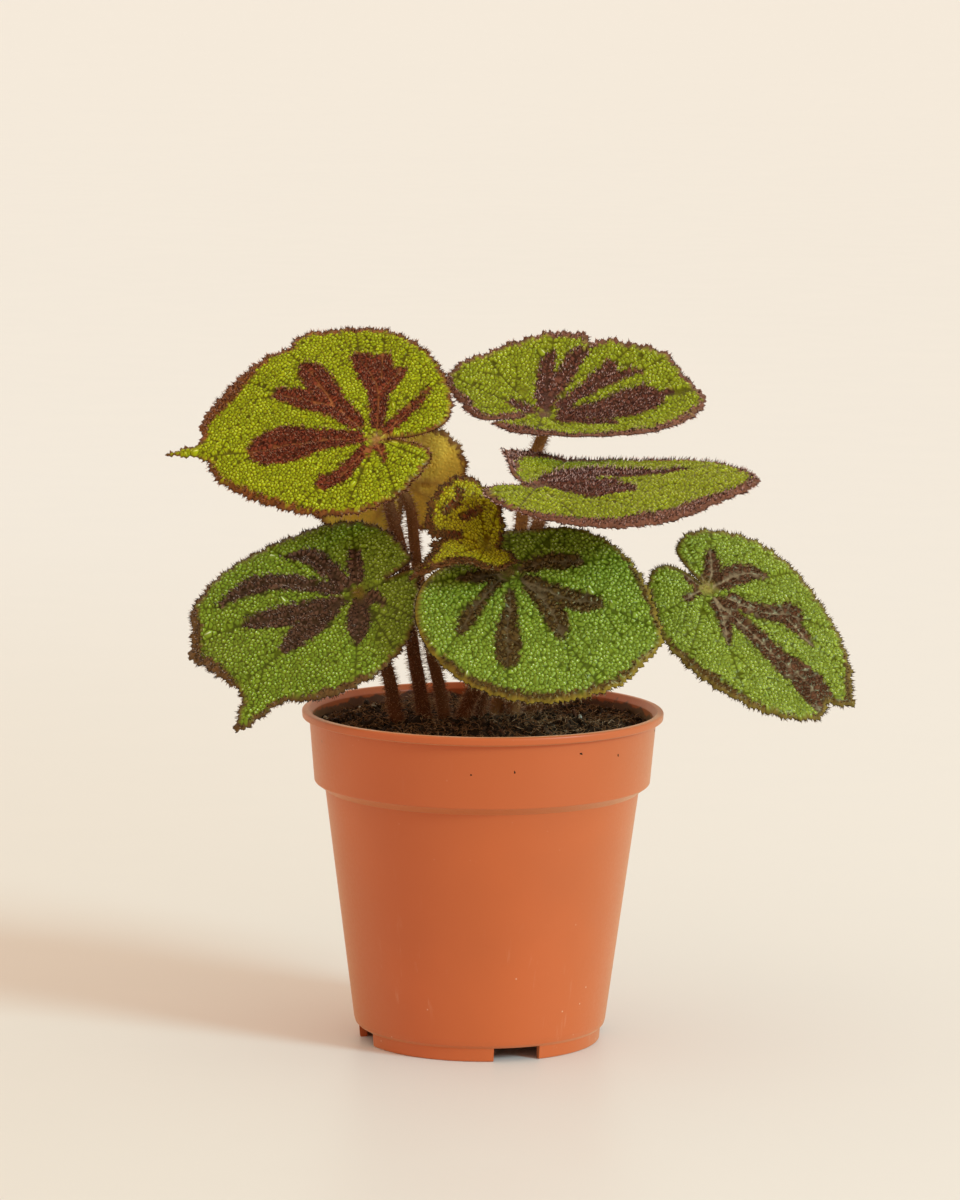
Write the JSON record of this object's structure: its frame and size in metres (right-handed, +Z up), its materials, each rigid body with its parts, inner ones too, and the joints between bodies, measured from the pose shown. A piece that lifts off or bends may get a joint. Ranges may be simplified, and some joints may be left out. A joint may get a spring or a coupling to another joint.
{
  "type": "potted iron cross begonia",
  "caption": "Young rhizomatous begonia with puckered, hairy, heart-shaped leaves marked with a dark cross, in a round tapered plastic nursery pot.",
  "frame": {"origin": "middle of the bounding box's base, on the surface the pot stands on; the pot's axis is 9.8 mm towards -X and 1.5 mm towards +Y from it", "axes": "+Z up, the viewer of the picture stands at -Y, +X to that viewer's right"},
  "size_m": [0.228, 0.123, 0.2343],
  "materials": {
    "pot_plastic": "satin terracotta-coloured plastic",
    "soil": "dark damp peat",
    "rhizome": "rough brown skin",
    "stalk": "red-brown, densely hairy",
    "blade_green": "puckered and bristly, green with a dark cross",
    "blade_young": "puckered and bristly, yellow-green with a red-brown cross",
    "blade_pale": "soft hairy underside, pale olive with brown veins"
  },
  "bodies": {
    "root": {"pot": "pot_plastic", "soil": "soil", "rhizome": "rhizome", "blade_upper_left": "blade_young", "stalk_upper_left": "stalk", "blade_upper_right": "blade_green", "stalk_upper_right": "stalk", "blade_middle_right": "blade_green", "stalk_middle_right": "stalk", "blade_lower_left": "blade_green", "stalk_lower_left": "stalk", "blade_lower_front": "blade_green", "stalk_lower_front": "stalk", "blade_lower_right": "blade_green", "stalk_lower_right": "stalk", "blade_young_folded": "blade_young", "stalk_young_folded": "stalk", "blade_behind_left": "blade_pale", "stalk_behind_left": "stalk"}
  },
  "joints": []
}
